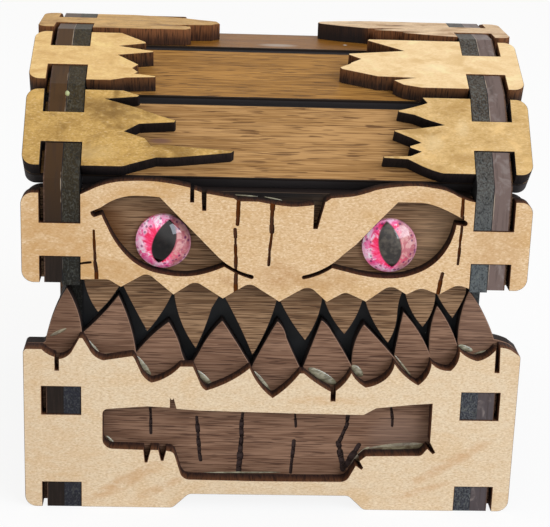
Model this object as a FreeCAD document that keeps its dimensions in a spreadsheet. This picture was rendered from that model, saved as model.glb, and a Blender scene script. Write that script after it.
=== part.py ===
import FreeCAD, Part
import math
import os
import Sketcher
from FreeCAD import Placement, Rotation, Vector

# A dice chest of laser-cut plywood with a toothed monster face. The jaw box and the
# half-octagon lid are each a shell of doubled plywood panels; the doubled end panels
# carry square tabs that show in the slots of every panel, and the ends also carry the hinge.
# Frame: X to the right of someone facing the chest, the front faces -Y, Z is up,
# and the origin is under the middle of the chest on the surface it stands on.

doc = FreeCAD.newDocument("monster_chest")

DIMENSIONS = (
    ("ply", 3.2),                  # thickness of one layer; every panel is two of them
    ("panel_width", 92.0),         # across the front, the back and the lid slats
    ("panel_corner", 2.2),         # round on the outer corners of the maple layer
    ("inner_corner", 3.4),         # the same corner on the walnut layer behind it
    ("ear_edge", 3.25),            # side edge of a panel to the slots for the ends' tabs
    ("end_gap", 0.1),              # the lid ends stand this much wider than the base ends
    ("slot_slack", 0.8),           # spare width of a slot beside its pair of tabs
    ("tab_recess", 0.2),           # the tabs stop this far below the panel's outside
    ("tab_play", 0.1),             # clearance along the length of a slot
    ("jaw_height", 31.9),          # top of the jaw panels at their ears
    ("ear_corner", 0.8),           # round on the top outer corner of each ear
    ("jaw_slot_low", 18.9),        # lower edge of the square hole in each ear of the jaw
    ("jaw_slot_high", 24.5),       # its upper edge
    ("foot_notch", 5.1),           # height of the notch at the foot of each ear
    ("foot_rise", 2.9),            # how far the panels are cut away between the feet
    ("foot_half", 18.2),           # from the middle to a foot, across the front
    ("foot_slope", 3.0),           # width of the slope from the foot up to the recess
    ("foot_curve", 1.4),           # rounds at the top and the bottom of that slope
    ("end_foot_half", 17.0),       # from the middle to a foot, along an end
    ("rim_top", 44.0),             # top of the black inner layer that lines the mouth
    ("mouth_gap", 0.4),            # between the teeth and the black board behind them
    ("floor_lift", 5.1),           # underside of the floor board
    ("floor_tab_length", 14.0),    # each of the floor's four tabs, along the end
    ("floor_tab_offset", 15.0),    # from the middle of the end to the middle of a tab
    ("face_bottom", 44.75),        # underside of the face panel at its ears
    ("face_notch_low", 5.0),       # height of the notch at the face's lower corners
    ("face_top", 61.65),           # where the face meets the first slat, inside
    ("face_notch_high", 5.6),      # height of the notch at the face's upper corners
    ("lid_lining_bottom", 44.3),   # underside of the black inner layer of the lid ends
    ("slat_width", 16.2),          # each of the five lid slats, front to back
    ("plank_gap", 0.6),            # the walnut planks stop this far short of the next one
    ("slat_turn", 22.5),           # degrees from one slat to the next
    ("slat_notch", 4.9),           # depth of the notches in the long edges of a slat
    ("hinge_height", 38.3),        # hinge axis above the ground
    ("hinge_inset", 5.0),          # hinge axis in from the back face
    ("knuckle_radius", 4.8),       # round ends of the end panels about the hinge
    ("pin_diameter", 3.0),         # hinge dowel
    ("pin_clearance", 0.06),       # radial clearance of the dowel in the lid end
    ("back_top", 39.3),            # top of the back panel between the hinge knuckles
    ("knuckle_slack", 0.3),        # side clearance of the back panel beside a knuckle
    ("eye_diameter", 10.0),        # glass cabochon
    ("eye_height", 3.0),
    ("eye_rim", 0.9),              # straight edge of the glass below its dome
)

# Sizes that follow from the others.
FORMULAS = (
    # slots of the ends' tabs, from the middle to the near edge and the far edge
    ("slot_far", "=panel_width / 2 - ear_edge"),
    ("slot_near", "=slot_far - slot_slack - end_gap - 2 * ply"),
    # the tighter slots of the walnut layers
    ("slot_snug", "=slot_near + end_gap + 2 * ply + tab_play"),
)

sheet = doc.addObject("Spreadsheet::Sheet", "Sizes")
for line, (alias, value) in enumerate(DIMENSIONS + FORMULAS, 1):
    sheet.set(f"A{line}", alias)
    sheet.set(f"B{line}", str(value))
    sheet.setAlias(f"B{line}", alias)
doc.recompute()


def size(expression):
    """Millimetres of an expression on the sheet; a bare name is one of its cells."""
    return float(sheet.evalExpression(on_sheet(expression)))


def on_sheet(expression):
    """The expression with every bare name turned into a cell of the sheet."""
    words = expression.split()
    return " ".join("Sizes." + word if word[0].isalpha() else word for word in words)


# ---------------------------------------------------------------- derived places

ply = size("ply")
half_width = size("panel_width / 2")
turn = math.radians(size("slat_turn"))
slat_width = size("slat_width")
jaw_height = size("jaw_height")
face_bottom = size("face_bottom")
face_top = size("face_top")

# Angles of the five slats, from level, and the inside corners of the lid's arch.
slat_angles = [2 * turn, turn, 0.0, -turn, -2 * turn]
slat_run = [slat_width * math.cos(angle) for angle in slat_angles]
slat_rise = [slat_width * math.sin(angle) for angle in slat_angles]
inner_depth = sum(slat_run)
front = -inner_depth / 2 - 2 * ply          # outside face of the front panels
back = -front
arch = [(-inner_depth / 2, face_top)]
for run, rise in zip(slat_run, slat_rise):
    arch.append((arch[-1][0] + run, arch[-1][1] + rise))

lining_in = size("slot_near")               # black layer of a base end, |x|
shell_in = lining_in + ply                  # brown layer of a base end, |x|
hinge_y = back - size("hinge_inset")
hinge_z = size("hinge_height")

# ---------------------------------------------------------------- drawing helpers


def arc_bow(degrees):
    """Rise of an arc of so many degrees, as a share of its chord."""
    return math.tan(math.radians(degrees) / 4) / 2


def expand_corners(points):
    """Points (x, z, bow, corner radius) with each radius turned into two points and an arc."""
    full = [tuple(point) + (0.0,) * (4 - len(point)) for point in points]
    loop = []
    for index, (x, z, bow, radius) in enumerate(full):
        if radius == 0.0:
            loop.append((Vector(x, z, 0), bow))
            continue
        corner = Vector(x, z, 0)
        before = Vector(*full[index - 1][:2], 0) - corner
        after = Vector(*full[(index + 1) % len(full)][:2], 0) - corner
        half_angle = before.getAngle(after) / 2
        reach = radius / math.tan(half_angle)
        side = math.copysign(1.0, before.cross(after).z)
        turned = 180.0 - math.degrees(2 * half_angle)
        loop.append((corner + before.normalize() * reach, bow))
        loop.append((corner + after.normalize() * reach, side * arc_bow(turned)))
    return loop


def draw(sketch, points):
    """One closed loop; a point's bow is the rise, to the left, of the arc that ends there."""
    loop = expand_corners(points)
    for index, (end, bow) in enumerate(loop):
        start = loop[index - 1][0]
        if bow == 0.0:
            sketch.addGeometry(Part.LineSegment(start, end), False)
            continue
        chord = end - start
        middle = (start + end) / 2 + Vector(-chord.y, chord.x, 0) * bow
        sketch.addGeometry(Part.Arc(start, middle, end), False)


def new_sketch(body, name, plane):
    sketch = body.newObject("Sketcher::SketchObject", name)
    origin_plane = next(item for item in body.Origin.OriginFeatures if item.Role == plane)
    sketch.AttachmentSupport = (origin_plane, [""])
    sketch.MapMode = "FlatFace"
    return sketch


def new_panel(label, plane, loops):
    """A laser-cut sheet: closed loops drawn on one of the body's planes, padded one layer."""
    body = doc.addObject("PartDesign::Body", label)
    sketch = new_sketch(body, label + "_outline", plane)
    for loop in loops:
        draw(sketch, loop)
    pad = body.newObject("PartDesign::Pad", label + "_sheet")
    pad.Profile = sketch
    pad.setExpression("Length", on_sheet("ply"))
    doc.recompute()
    return body


def check_cut(body, before):
    """Stops the build when a cut has taken nothing off the body."""
    if body.Shape.Volume >= before:
        raise ValueError(body.Name + " has a cut that takes nothing off")


def cut(body, sketch):
    """A through cut with the sketch, on both sides of its plane."""
    before = body.Shape.Volume
    pocket = body.newObject("PartDesign::Pocket", sketch.Name + "_cut")
    pocket.Profile = sketch
    pocket.Type = "ThroughAll"
    pocket.SideType = "Symmetric"
    doc.recompute()
    check_cut(body, before)
    return pocket


def cut_slot(body, name, plane, left, right, low, high):
    """A square slot whose four edges are expressions on the sheet."""
    sketch = new_sketch(body, name, plane)
    places = [size(edge) for edge in (left, right, low, high)]
    corners = [(0, 2), (1, 2), (1, 3), (0, 3)]
    corners = [Vector(places[i], places[j], 0) for i, j in corners]
    for index in range(4):
        sketch.addGeometry(Part.LineSegment(corners[index], corners[(index + 1) % 4]), False)
    for index in range(4):
        link = Sketcher.Constraint("Coincident", index, 2, (index + 1) % 4, 1)
        sketch.addConstraint(link)
        sketch.addConstraint(Sketcher.Constraint("Vertical" if index % 2 else "Horizontal", index))
    edges = (("DistanceX", 0, 1, left), ("DistanceX", 0, 2, right),
             ("DistanceY", 0, 1, low), ("DistanceY", 2, 1, high))
    for (kind, line_index, end, edge), place in zip(edges, places):
        rule = Sketcher.Constraint(kind, -1, 1, line_index, end, place)
        number = sketch.addConstraint(rule)
        sketch.setExpression(f"Constraints[{number}]", on_sheet(edge))
    return cut(body, sketch)


def mirror(body, features, plane="YZ_Plane"):
    """The same cuts on the other side of the body."""
    before = body.Shape.Volume
    mirrored = body.newObject("PartDesign::Mirrored", body.Name + "_other_side")
    mirrored.Originals = features
    origin_plane = next(item for item in body.Origin.OriginFeatures if item.Role == plane)
    mirrored.MirrorPlane = (origin_plane, [""])
    body.Tip = mirrored
    doc.recompute()
    check_cut(body, before)


def place(body, x, y, z, axis=Vector(1, 0, 0), degrees=0.0):
    body.Placement = Placement(Vector(x, y, z), Rotation(axis, degrees))


MAPLE_SLOT = ("slot_near", "slot_far")
WALNUT_SLOT = ("slot_near", "slot_snug")

# ---------------------------------------------------------------- carved outlines
# Places are hundredths of the panel. Across: 0 the middle, 100 the slots for the ends, 200 the
# side edge. Up, on the jaw: 0 the ground, 100 the top of the ears. Up, on the face: 0 its lower
# edge, 100 its top, -100 the top of the jaw. On a slat: 0 its lower edge, 100 its upper one.
# A bow is in hundredths of its arc's chord, and a corner's round in the measure for up.


def across(x):
    if abs(x) <= 100:
        return lining_in * x / 100
    return math.copysign(lining_in + (half_width - lining_in) * (abs(x) / 100 - 1), x)


def carve(points, base, height, drop=0.0):
    """Drawn points as places on a panel, above the base by its height or below it by the drop."""
    carved = []
    for x, up, *rest in points:
        bow, radius = (rest + [0.0, 0.0])[:2]
        z = base + (height if up > 0 else drop) * up / 100
        carved.append((across(x), z, bow / 100, height * radius / 100))
    return carved


def carve_jaw(points):
    return carve(points, 0.0, jaw_height)


def carve_face(points):
    return carve(points, face_bottom, face_top - face_bottom, face_bottom - jaw_height)


def carve_slat(points):
    return carve(points, 0.0, slat_width)


# Gum line of the jaw's maple layer, left to right: cups under the roots of ten teeth.
GUM = (
    (-167.8, 100), (-145, 95.3, -7.1), (-145, 86.8), (-138.4, 86.8), (-138.4, 94),
    (-116.6, 98.4, -11.1), (-102.4, 107.2), (-99, 107.2), (-95.6, 100.6), (-88.3, 93.7, -11.7),
    (-73.1, 96.6), (-71.9, 94.7), (-69.1, 87.5), (-63.2, 80.3, -9.6), (-48.5, 90.6, -8.1),
    (-41.7, 90.6), (-38.1, 81.2), (-34.7, 75.9, -9.6), (-12.1, 90.3, -5.4), (0.3, 71.8, -6.8),
    (14.1, 87.5, -4.3), (16.4, 87.5), (31, 76.2, -3.2), (31, 70.2), (33.3, 70.2), (33.3, 76.8),
    (41.2, 88.4, -6.5), (49.1, 79.3, -7.4), (57.5, 83.1, -6.2), (63.5, 94.7, -11.8),
    (76.7, 81.2, -6.3), (82.9, 95.3, -12), (93.4, 90.6, -12.5), (97.3, 103.1, -11.8),
    (124.2, 96.9, -7.4), (155.5, 104.4, -9.8), (156.4, 89.7), (164, 89.7), (162.1, 105.6),
    (182, 104.1, 4.6),
)

# Top edge of the jaw's walnut layer: ten lower teeth, their bowed sides rising between roots.
LOWER_TEETH = (
    (-167.8, 100), (-164, 100.9), (-125.7, 134.1, 4.6), (-99.9, 106.3, 6), (-81, 130, -2.8),
    (-71.7, 94.7, 4.1), (-54.9, 114.2, 3.7), (-49, 100.5, 3.3), (-44.3, 85.6, -3.2),
    (-36.6, 100.8, -2.5), (-26.9, 115.5, 3.4), (-11, 86.8, 0.9), (1.9, 115.7, 1.2),
    (7, 105.4, 9), (15.5, 85, -0.6), (25, 116.8), (30.8, 109.6, 6.5), (42, 88.7, 1),
    (47.4, 114.7, 8.2), (64.2, 94.7, 0.9), (67.7, 122.9, 0.9), (82.7, 98.1, 4.4),
    (85.3, 127.1, 5.6), (97.6, 102.5, 4.2), (105.2, 136.7, 5.6), (156.4, 106.9, 4),
    (183.9, 104.1, 3.3),
)

# Gum line of the face's maple layer, right to left: rounded arches over the nine upper teeth.
UPPER_GUM = (
    (105.2, 0), (93.7, 5.6, 0, 14.2), (84.3, -8.2), (74.8, 1.5, 0, 14.2), (67.7, -8.9),
    (59, 3.8, 0, 11.8), (46.8, -20.6), (35.8, -6.6, 0, 9.5), (26.5, -22.2), (16.9, 1.5, 0, 10.7),
    (2, -23), (-13.5, 3.3, 0, 10.7), (-27.1, -19.8), (-41.5, 4.4, 0, 10.7), (-52.5, -15.2),
    (-66, 12.7, 0, 9.5), (-79.3, -5.1), (-85.8, 4.4, 0, 11.8), (-103.3, 3.8), (-104.3, 0),
)

# Lower edge of the face's walnut layer, right to left: nine upper teeth.
UPPER_TEETH = (
    (99.6, 0), (99.6, -17.2, 8), (93.8, -51.9, 2.4), (84.1, -12.8, 3), (78.4, -66.3, 8.9),
    (67.4, -6.6, 7.7), (64.7, -46.6, -5), (60.6, -92, 6.3), (46.5, -20.6, 5.7),
    (37.3, -79.5, 5.6), (25.1, -20.6, 6), (16.8, -90.1, 6.4), (1.7, -23, 3.5),
    (-10.7, -114.5, 4), (-27.6, -18.3, -1.6), (-32.5, -42.5), (-40.5, -105.3, 1.9),
    (-52.5, -17.5, 6.8), (-66, -80.4, 4), (-79.5, -6.6, 0.8), (-91.6, -52.3, 4.1), (-99, 0, 6.4),
)

# Brow line along the top of the face's maple layer, left to right, with its cut wrinkles.
BROW = (
    (-99.6, 99.1), (-95.1, 103.8), (-76.2, 114.5, 5.8), (-60.9, 114.5, 1.9), (-44.6, 108.6, 1.7),
    (-44.6, 92.6), (-42.9, 92.6), (-42.9, 106.8), (-38.9, 103.8), (-38.4, 83.7), (-36.7, 83.7),
    (-36.7, 102.7), (-22.6, 97.9), (-20.6, 95), (-10.2, 95), (6.2, 90.2, -1.7),
    (18.1, 92.6, -2.4), (18.1, 66), (20, 66), (23.4, 95.6), (26.5, 100.3), (37.2, 102.7),
    (48.8, 110.4, -2.3), (63.2, 115.1, 1.9), (77.9, 113.9, 3.8), (91.1, 105, 6.1),
    (99.9, 99.1, -3.1),
)

LEFT_SOCKET = (
    (-60.1, 96.7), (-70.5, 97.9, -1.3), (-81.8, 93.8, -4.9), (-89.4, 84.3, -3.2), (-94.5, 79.6),
    (-92.8, 74.3, -18.5), (-89.1, 77.2), (-86.3, 64.2, -2.1), (-74.5, 28.1, -5.4),
    (-57.5, 12.1, -7.6), (-38.4, 12.7, -5.9), (-26.7, 21.8, -2.4), (-12.8, 8.5, -3.7),
    (-12.5, 12.3, -50), (-31.3, 34.5, 7.6),
)

RIGHT_SOCKET = (
    (60.6, 96.7), (49.9, 71.9), (40.3, 48.8), (34.1, 37.3), (14.1, 12.8, 7.5),
    (14.2, 9.4, -50), (28.4, 22.5, -5.4), (39.5, 16.9), (57.3, 12.1, -3.1), (72.2, 18.6, -5.5), (84.6, 38.8, -7.2),
    (90.8, 73.7, -6.4), (95.3, 72.5), (95.9, 77.2, -36.4), (82.4, 91.4, -1.9), (72.2, 96.7, -4),
)

# Window in the jaw's maple layer, showing the walnut behind it.
WINDOW = (
    (-88.6, 62.7, 0, 3.1), (-88.6, 38.2, 0, 6), (-67.1, 37.6), (-66.3, 29.5), (-65.2, 29.5),
    (-63.5, 37.6), (-59.2, 37.6), (-57.8, 30.7), (-56.7, 30.7), (-55.3, 37.3),
    (-51.1, 36.4, 0, 3.8), (-46.3, 18.8, 0, 5.6), (-5.6, 18.2), (41.2, 18.5, 0, 5.3), (46, 29.2),
    (49.1, 26.6), (49.9, 27.6), (47.7, 32), (51.1, 35.4, 0, 2.8), (80.7, 36.1, 0, 3.1),
    (83.8, 40.8), (86.9, 37.3), (88, 38.2), (84.9, 44.5), (84.9, 69.3), (74.2, 68.3),
    (55.3, 65.8), (48.8, 61.4), (9.9, 61.8), (-37.2, 62.7), (-50.2, 63.6), (-51.6, 69.9),
    (-53.3, 69.9, 33.3), (-53.3, 64.3), (-65.4, 64.9), (-76.2, 63.9),
)

# Middle of the right eye on the face; the left one is its mirror image.
EYE = (58.1, 44.4)

# Broken inner ends of the maple overlays.
BROKEN_ENDS = {
    ("low", "left"): (
        (-80.4, 0), (-75.3, 3.1, -5.4), (-62.3, 12.3), (-47.4, 14.2, -1.9), (-24.5, 20.4),
        (-22.8, 23.5), (-40.9, 26.5), (-60.4, 30.2), (-64.9, 28.4), (-68.3, 37.7), (-78.7, 45.7),
        (-71.4, 55.6), (-53.6, 58.6), (-52.8, 61.7), (-70.5, 75.9, 1.5), (-88.6, 87.7),
        (-72.8, 91.4), (-71.7, 93.8), (-80.4, 100),
    ),
    ("low", "right"): (
        (83.2, 0), (72.8, 8.6, 2.5), (65.7, 17.3), (53.3, 18.5), (53, 21), (67.1, 22.2),
        (72.5, 27.8), (66.9, 32.7), (66.9, 35.2), (72.5, 39.5), (68, 45.1), (59.2, 53.7),
        (59.5, 55.6), (84.9, 63.6, -1.1), (75.9, 70.4), (70.2, 75.9), (61.8, 79.6), (61.8, 82.1),
        (77, 92.6, -1.8), (74.5, 100),
    ),
    ("high", "left"): (
        (-87.4, 0), (-79.3, 5.6), (-64, 8), (-64.3, 10.5), (-75, 14.8), (-73.3, 17.9),
        (-76.4, 25.9), (-73.3, 33.3), (-84.3, 52.5), (-66, 59.9), (-66, 62.3), (-83.8, 71.6),
        (-70.2, 78.4), (-70.5, 81.5), (-81, 96.3), (-83.5, 100),
    ),
    ("high", "right"): (
        (75, 0), (65.7, 4.9), (60.6, 14.2), (71.7, 19.8), (52.5, 21), (33.9, 34.6), (33, 38.3),
        (38.6, 46.3), (39.2, 48.8), (44.6, 56.8), (38.4, 65.4), (38.6, 67.9), (68.3, 76.5),
        (49.4, 96.9), (50.2, 100),
    ),
    ("top", "left"): (
        (-84.6, 0), (-49.1, 1.9), (-46.5, 8.6, 7), (-46.8, 22.2), (-55, 32.1), (-35, 38.9),
        (-30.5, 49.4, 8.6), (-32.2, 65.4), (-42.3, 75.3), (-49.4, 84), (-62.1, 92.6), (-79, 100),
    ),
    ("top", "right"): (
        (98.2, 0), (82.9, 9.3), (70, 20.4), (86, 28.4), (69.4, 29.6), (54.7, 35.8), (72.8, 50.6),
        (52.5, 45.7), (37.8, 58), (26.5, 71.6), (25.4, 75.9), (26.8, 86.4, 11.3), (39.5, 95.1),
        (56.4, 100),
    ),
}

# ---------------------------------------------------------------- jaw and back panels


def foot_line(half):
    """The lower edge, left to right, raised between the feet."""
    rise = size("foot_rise")
    slope = size("foot_slope")
    curve = size("foot_curve")
    left = [(-half, 0.0, 0.0, curve), (slope - half, rise, 0.0, curve)]
    return left + [(-x, z, bow, radius) for x, z, bow, radius in reversed(left)]


def jaw_outline(top_edge, corner, ear_corner):
    """Counter-clockwise from the lower left corner; the top edge is drawn left to right."""
    outline = [(-half_width, jaw_height, 0.0, ear_corner), (-half_width, 0.0, 0.0, corner)]
    outline += foot_line(size("foot_half"))
    outline += [(half_width, 0.0, 0.0, corner), (half_width, jaw_height, 0.0, ear_corner)]
    return outline + reverse_edge(top_edge)


def reverse_edge(points):
    """An open edge walked the other way, with the same bows and rounds."""
    full = [tuple(point) + (0.0,) * (4 - len(point)) for point in points]
    walked = []
    for index in range(len(full) - 1, -1, -1):
        x, z, _, radius = full[index]
        bow = -full[index + 1][2] if index + 1 < len(full) else 0.0
        walked.append((x, z, bow, radius))
    return walked


def cut_jaw_slots(body, sides):
    """Square holes and foot notches in both ears, where the end panels' tabs come through."""
    hole = cut_slot(body, body.Name + "_hole", "XZ_Plane", *sides,
                    "jaw_slot_low", "jaw_slot_high")
    notch = cut_slot(body, body.Name + "_foot", "XZ_Plane", *sides,
                     "0", "foot_notch")
    mirror(body, [hole, notch])


def make_jaw_panels():
    maple_corner = size("panel_corner")
    walnut_corner = size("inner_corner")
    ear_corner = size("ear_corner")
    gum = jaw_outline(carve_jaw(GUM), maple_corner, ear_corner)
    maple = new_panel("jaw_maple", "XZ_Plane", [gum, carve_jaw(WINDOW)])
    cut_jaw_slots(maple, MAPLE_SLOT)
    place(maple, 0, front + ply, 0)
    teeth = jaw_outline(carve_jaw(LOWER_TEETH), walnut_corner, ear_corner)
    walnut = new_panel("jaw_walnut_teeth", "XZ_Plane", [teeth])
    cut_jaw_slots(walnut, WALNUT_SLOT)
    place(walnut, 0, front + 2 * ply, 0)


def make_back_panels():
    """Two plain layers; the ears are cut down beside the hinge knuckles."""
    top = size("back_top")
    tongue = lining_in - size("knuckle_slack")
    layers = (("back_maple", "panel_corner", MAPLE_SLOT, 0.0),
              ("back_walnut", "inner_corner", WALNUT_SLOT, ply))
    for label, corner, sides, depth in layers:
        top_edge = [(-tongue, jaw_height), (-tongue, top), (tongue, top), (tongue, jaw_height)]
        outline = jaw_outline(top_edge, size(corner), size(corner))
        body = new_panel(label, "XZ_Plane", [outline])
        cut_jaw_slots(body, sides)
        place(body, 0, back - depth, 0)


# ---------------------------------------------------------------- base ends and boards


def tab_teeth(wall, side):
    """Tabs of a base end at the front (side -1) or the back (side 1), walked upwards."""
    reach = wall + side * (2 * ply - size("tab_recess"))
    play = size("tab_play")
    low = size("jaw_slot_low") + play
    high = size("jaw_slot_high") - play
    foot = size("foot_notch") - play
    return [(reach, 0.0), (reach, foot), (wall, foot), (wall, low), (reach, low),
            (reach, high), (wall, high)]


def knuckle_point(degrees, radius):
    angle = math.radians(degrees)
    return hinge_y + radius * math.cos(angle), hinge_z + radius * math.sin(angle)


def base_end_outline(lining):
    """Side view (y, z), counter-clockwise from the front foot; the lining carries the hinge."""
    wall_front = front + 2 * ply
    wall_back = back - 2 * ply
    half = size("end_foot_half")
    outline = [(y, z) for y, z in reversed(tab_teeth(wall_front, -1))]
    outline += foot_line(half)
    outline += tab_teeth(wall_back, 1)
    if not lining:
        outline += [(wall_back, jaw_height), (wall_front, jaw_height)]
        return outline
    radius = size("knuckle_radius")
    rim = size("rim_top")
    under = math.degrees(math.acos((wall_back - hinge_y) / radius))
    tangent = 90.0 - math.degrees(math.acos(radius / (rim - hinge_z)))
    start = knuckle_point(-under, radius)
    end = knuckle_point(tangent, radius)
    outline += [start, end + (-arc_bow(under + tangent),), (hinge_y, rim), (wall_front, rim)]
    return outline


def cut_floor_slots(body):
    middle_out = "floor_tab_offset + floor_tab_length / 2"
    middle_in = "floor_tab_offset - floor_tab_length / 2"
    slot = cut_slot(body, body.Name + "_floor", "YZ_Plane", middle_in, middle_out,
                    "floor_lift", "floor_lift + ply")
    mirror(body, [slot], "XZ_Plane")


def cut_hinge_bore(body, radius):
    sketch = new_sketch(body, body.Name + "_bore", "YZ_Plane")
    axis = Vector(hinge_y, hinge_z, 0)
    sketch.addGeometry(Part.Circle(axis, Vector(0, 0, 1), size(radius)), False)
    number = sketch.addConstraint(Sketcher.Constraint("Radius", 0, size(radius)))
    sketch.setExpression(f"Constraints[{number}]", on_sheet(radius))
    sketch.addConstraint(Sketcher.Constraint("DistanceX", -1, 1, 0, 3, hinge_y))
    sketch.addConstraint(Sketcher.Constraint("DistanceY", -1, 1, 0, 3, hinge_z))
    cut(body, sketch)


def make_base_ends():
    for side, sign in (("left", -1), ("right", 1)):
        for name, lining, inside in (("lining", True, lining_in), ("shell", False, shell_in)):
            body = new_panel(f"base_end_{name}_{side}", "YZ_Plane", [base_end_outline(lining)])
            cut_floor_slots(body)
            if lining:
                cut_hinge_bore(body, "pin_diameter / 2")
            place(body, inside if sign > 0 else -inside - ply, 0, 0)


def make_floor():
    """The floor board, with two tabs into each end."""
    half = lining_in
    reach = half + 2 * ply
    front_edge = front + 2 * ply
    near = size("floor_tab_offset") - size("floor_tab_length") / 2
    far = size("floor_tab_offset") + size("floor_tab_length") / 2
    play = size("tab_play")
    right = [(half, front_edge)]
    for low, high in ((-far, -near), (near, far)):
        right += [(half, low + play), (reach, low + play), (reach, high - play), (half, high - play)]
    right += [(half, -front_edge)]
    left = [(-x, -y) for x, y in right]
    body = new_panel("floor_board", "XY_Plane", [right + left])
    place(body, 0, 0, size("floor_lift"))


def make_black_boards():
    """Boards that line the front and the back of the box and show black between the teeth."""
    floor_top = size("floor_lift + ply")
    rim = size("rim_top")
    outline = [(-lining_in, floor_top), (lining_in, floor_top), (lining_in, rim), (-lining_in, rim)]
    mouth = new_panel("mouth_board", "XZ_Plane", [outline])
    place(mouth, 0, front + 3 * ply + size("mouth_gap"), 0)
    rear = new_panel("back_board", "XZ_Plane", [outline])
    place(rear, 0, back - 2 * ply, 0)


def make_hinge_pins():
    """Dowels pressed into the base ends; the lid ends turn on them."""
    for side, sign in (("left", -1), ("right", 1)):
        pin = doc.addObject("Part::Cylinder", f"hinge_pin_{side}")
        pin.setExpression("Radius", on_sheet("pin_diameter / 2"))
        pin.setExpression("Height", on_sheet("2 * ply + end_gap"))
        place(pin, sign * lining_in, hinge_y, hinge_z, Vector(0, 1, 0), sign * 90)


# ---------------------------------------------------------------- face and lid back


def cut_face_slots(body, sides):
    low = cut_slot(body, body.Name + "_low", "XZ_Plane", *sides,
                   "face_bottom", "face_bottom + face_notch_low")
    high = cut_slot(body, body.Name + "_high", "XZ_Plane", *sides,
                    "face_top - face_notch_high", "face_top")
    mirror(body, [low, high])


def face_outline(lower_edge, top_edge, corner):
    """Counter-clockwise; the lower edge is drawn right to left and the top edge left to right."""
    outline = [(-half_width, face_top, 0.0, corner), (-half_width, face_bottom, 0.0, corner)]
    outline += reverse_edge(lower_edge)
    outline += [(half_width, face_bottom, 0.0, corner), (half_width, face_top, 0.0, corner)]
    return outline + reverse_edge(top_edge)


def make_face_panels():
    maple_corner = size("panel_corner")
    sockets = [carve_face(LEFT_SOCKET), carve_face(RIGHT_SOCKET)]
    outline = face_outline(carve_face(UPPER_GUM), carve_face(BROW), maple_corner)
    maple = new_panel("face_maple", "XZ_Plane", [outline] + sockets)
    cut_face_slots(maple, MAPLE_SLOT)
    place(maple, 0, front + ply, 0)
    outline = face_outline(carve_face(UPPER_TEETH), [], size("inner_corner"))
    walnut = new_panel("face_walnut_teeth", "XZ_Plane", [outline])
    cut_face_slots(walnut, WALNUT_SLOT)
    place(walnut, 0, front + 2 * ply, 0)


def make_lid_back():
    layers = (("lid_back_maple", "panel_corner", MAPLE_SLOT, 0.0),
              ("lid_back_walnut", "inner_corner", WALNUT_SLOT, ply))
    for label, corner, sides, depth in layers:
        body = new_panel(label, "XZ_Plane", [face_outline([], [], size(corner))])
        cut_face_slots(body, sides)
        place(body, 0, back - depth, 0)


def make_eyes():
    """Glass cabochons: a short straight rim under a dome, turned about the line of sight."""
    for side, sign in (("left", -1), ("right", 1)):
        body = doc.addObject("PartDesign::Body", f"eye_{side}")
        sketch = new_sketch(body, f"eye_{side}_section", "XY_Plane")
        radius = size("eye_diameter / 2")
        height = size("eye_height")
        rim = size("eye_rim")
        crown = height - rim
        dome_radius = (radius ** 2 + crown ** 2) / (2 * crown)
        middle_x = dome_radius * math.sin(math.asin(radius / dome_radius) / 2)
        middle = Vector(middle_x, height - dome_radius + math.sqrt(dome_radius ** 2 - middle_x ** 2), 0)
        axis_foot, edge_foot = Vector(0, 0, 0), Vector(radius, 0, 0)
        edge_top, crown_top = Vector(radius, rim, 0), Vector(0, height, 0)
        sketch.addGeometry(Part.LineSegment(axis_foot, edge_foot), False)
        sketch.addGeometry(Part.LineSegment(edge_foot, edge_top), False)
        sketch.addGeometry(Part.Arc(edge_top, middle, crown_top), False)
        sketch.addGeometry(Part.LineSegment(crown_top, axis_foot), False)
        turned = body.newObject("PartDesign::Revolution", f"eye_{side}_dome")
        turned.Profile = sketch
        turned.ReferenceAxis = (sketch, ["V_Axis"])
        turned.Angle = 360.0
        (x, z, *_), = carve_face([EYE])
        place(body, sign * x, front + ply, z, Vector(0, 0, 1), 180.0)


# ---------------------------------------------------------------- lid ends


def corner_tab(corner, way_in, way_out, notch_in, notch_out):
    """The tab over one corner of the arch, walked from the front of the chest to its back."""
    reach = 2 * ply - size("tab_recess")
    play = size("tab_play")
    out_in = Vector(-way_in.y, way_in.x, 0)
    out_out = Vector(-way_out.y, way_out.x, 0)
    first = corner - way_in * (notch_in - play)
    last = corner + way_out * (notch_out - play)
    ridge = corner + (out_in + out_out) * (reach / (1 + out_in.dot(out_out)))
    return [first, first + out_in * reach, ridge, last + out_out * reach, last]


def lid_end_outline(shell):
    """Side view (y, z), from the lower back corner over the arch to the lower front one."""
    bottom = face_bottom if shell else size("lid_lining_bottom")
    wall = inner_depth / 2
    reach = wall + 2 * ply - size("tab_recess")
    low = face_bottom + size("face_notch_low") - size("tab_play")
    high_notch = size("face_notch_high")
    slat_notch = size("slat_notch")
    ways = [Vector(0, 1, 0)]
    ways += [Vector(math.cos(angle), math.sin(angle), 0) for angle in slat_angles]
    ways += [Vector(0, -1, 0)]
    walk = []
    for index, (y, z) in enumerate(arch):
        notch_in = high_notch if index == 0 else slat_notch
        notch_out = high_notch if index == len(arch) - 1 else slat_notch
        tab = corner_tab(Vector(y, z, 0), ways[index], ways[index + 1], notch_in, notch_out)
        walk += [(point.x, point.y) for point in tab]
    arch_walk = list(reversed(walk))
    foot = [(-wall, low), (-reach, low), (-reach, bottom)]
    heel = [(reach, low), (wall, low)]
    if not shell:
        return arch_walk + foot + [(reach, bottom)] + heel
    radius = size("knuckle_radius")
    knuckle = [(hinge_y - radius, bottom), (hinge_y - radius, hinge_z),
               (hinge_y + radius, hinge_z, -arc_bow(180.0))]
    return arch_walk + foot + knuckle + heel


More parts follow.
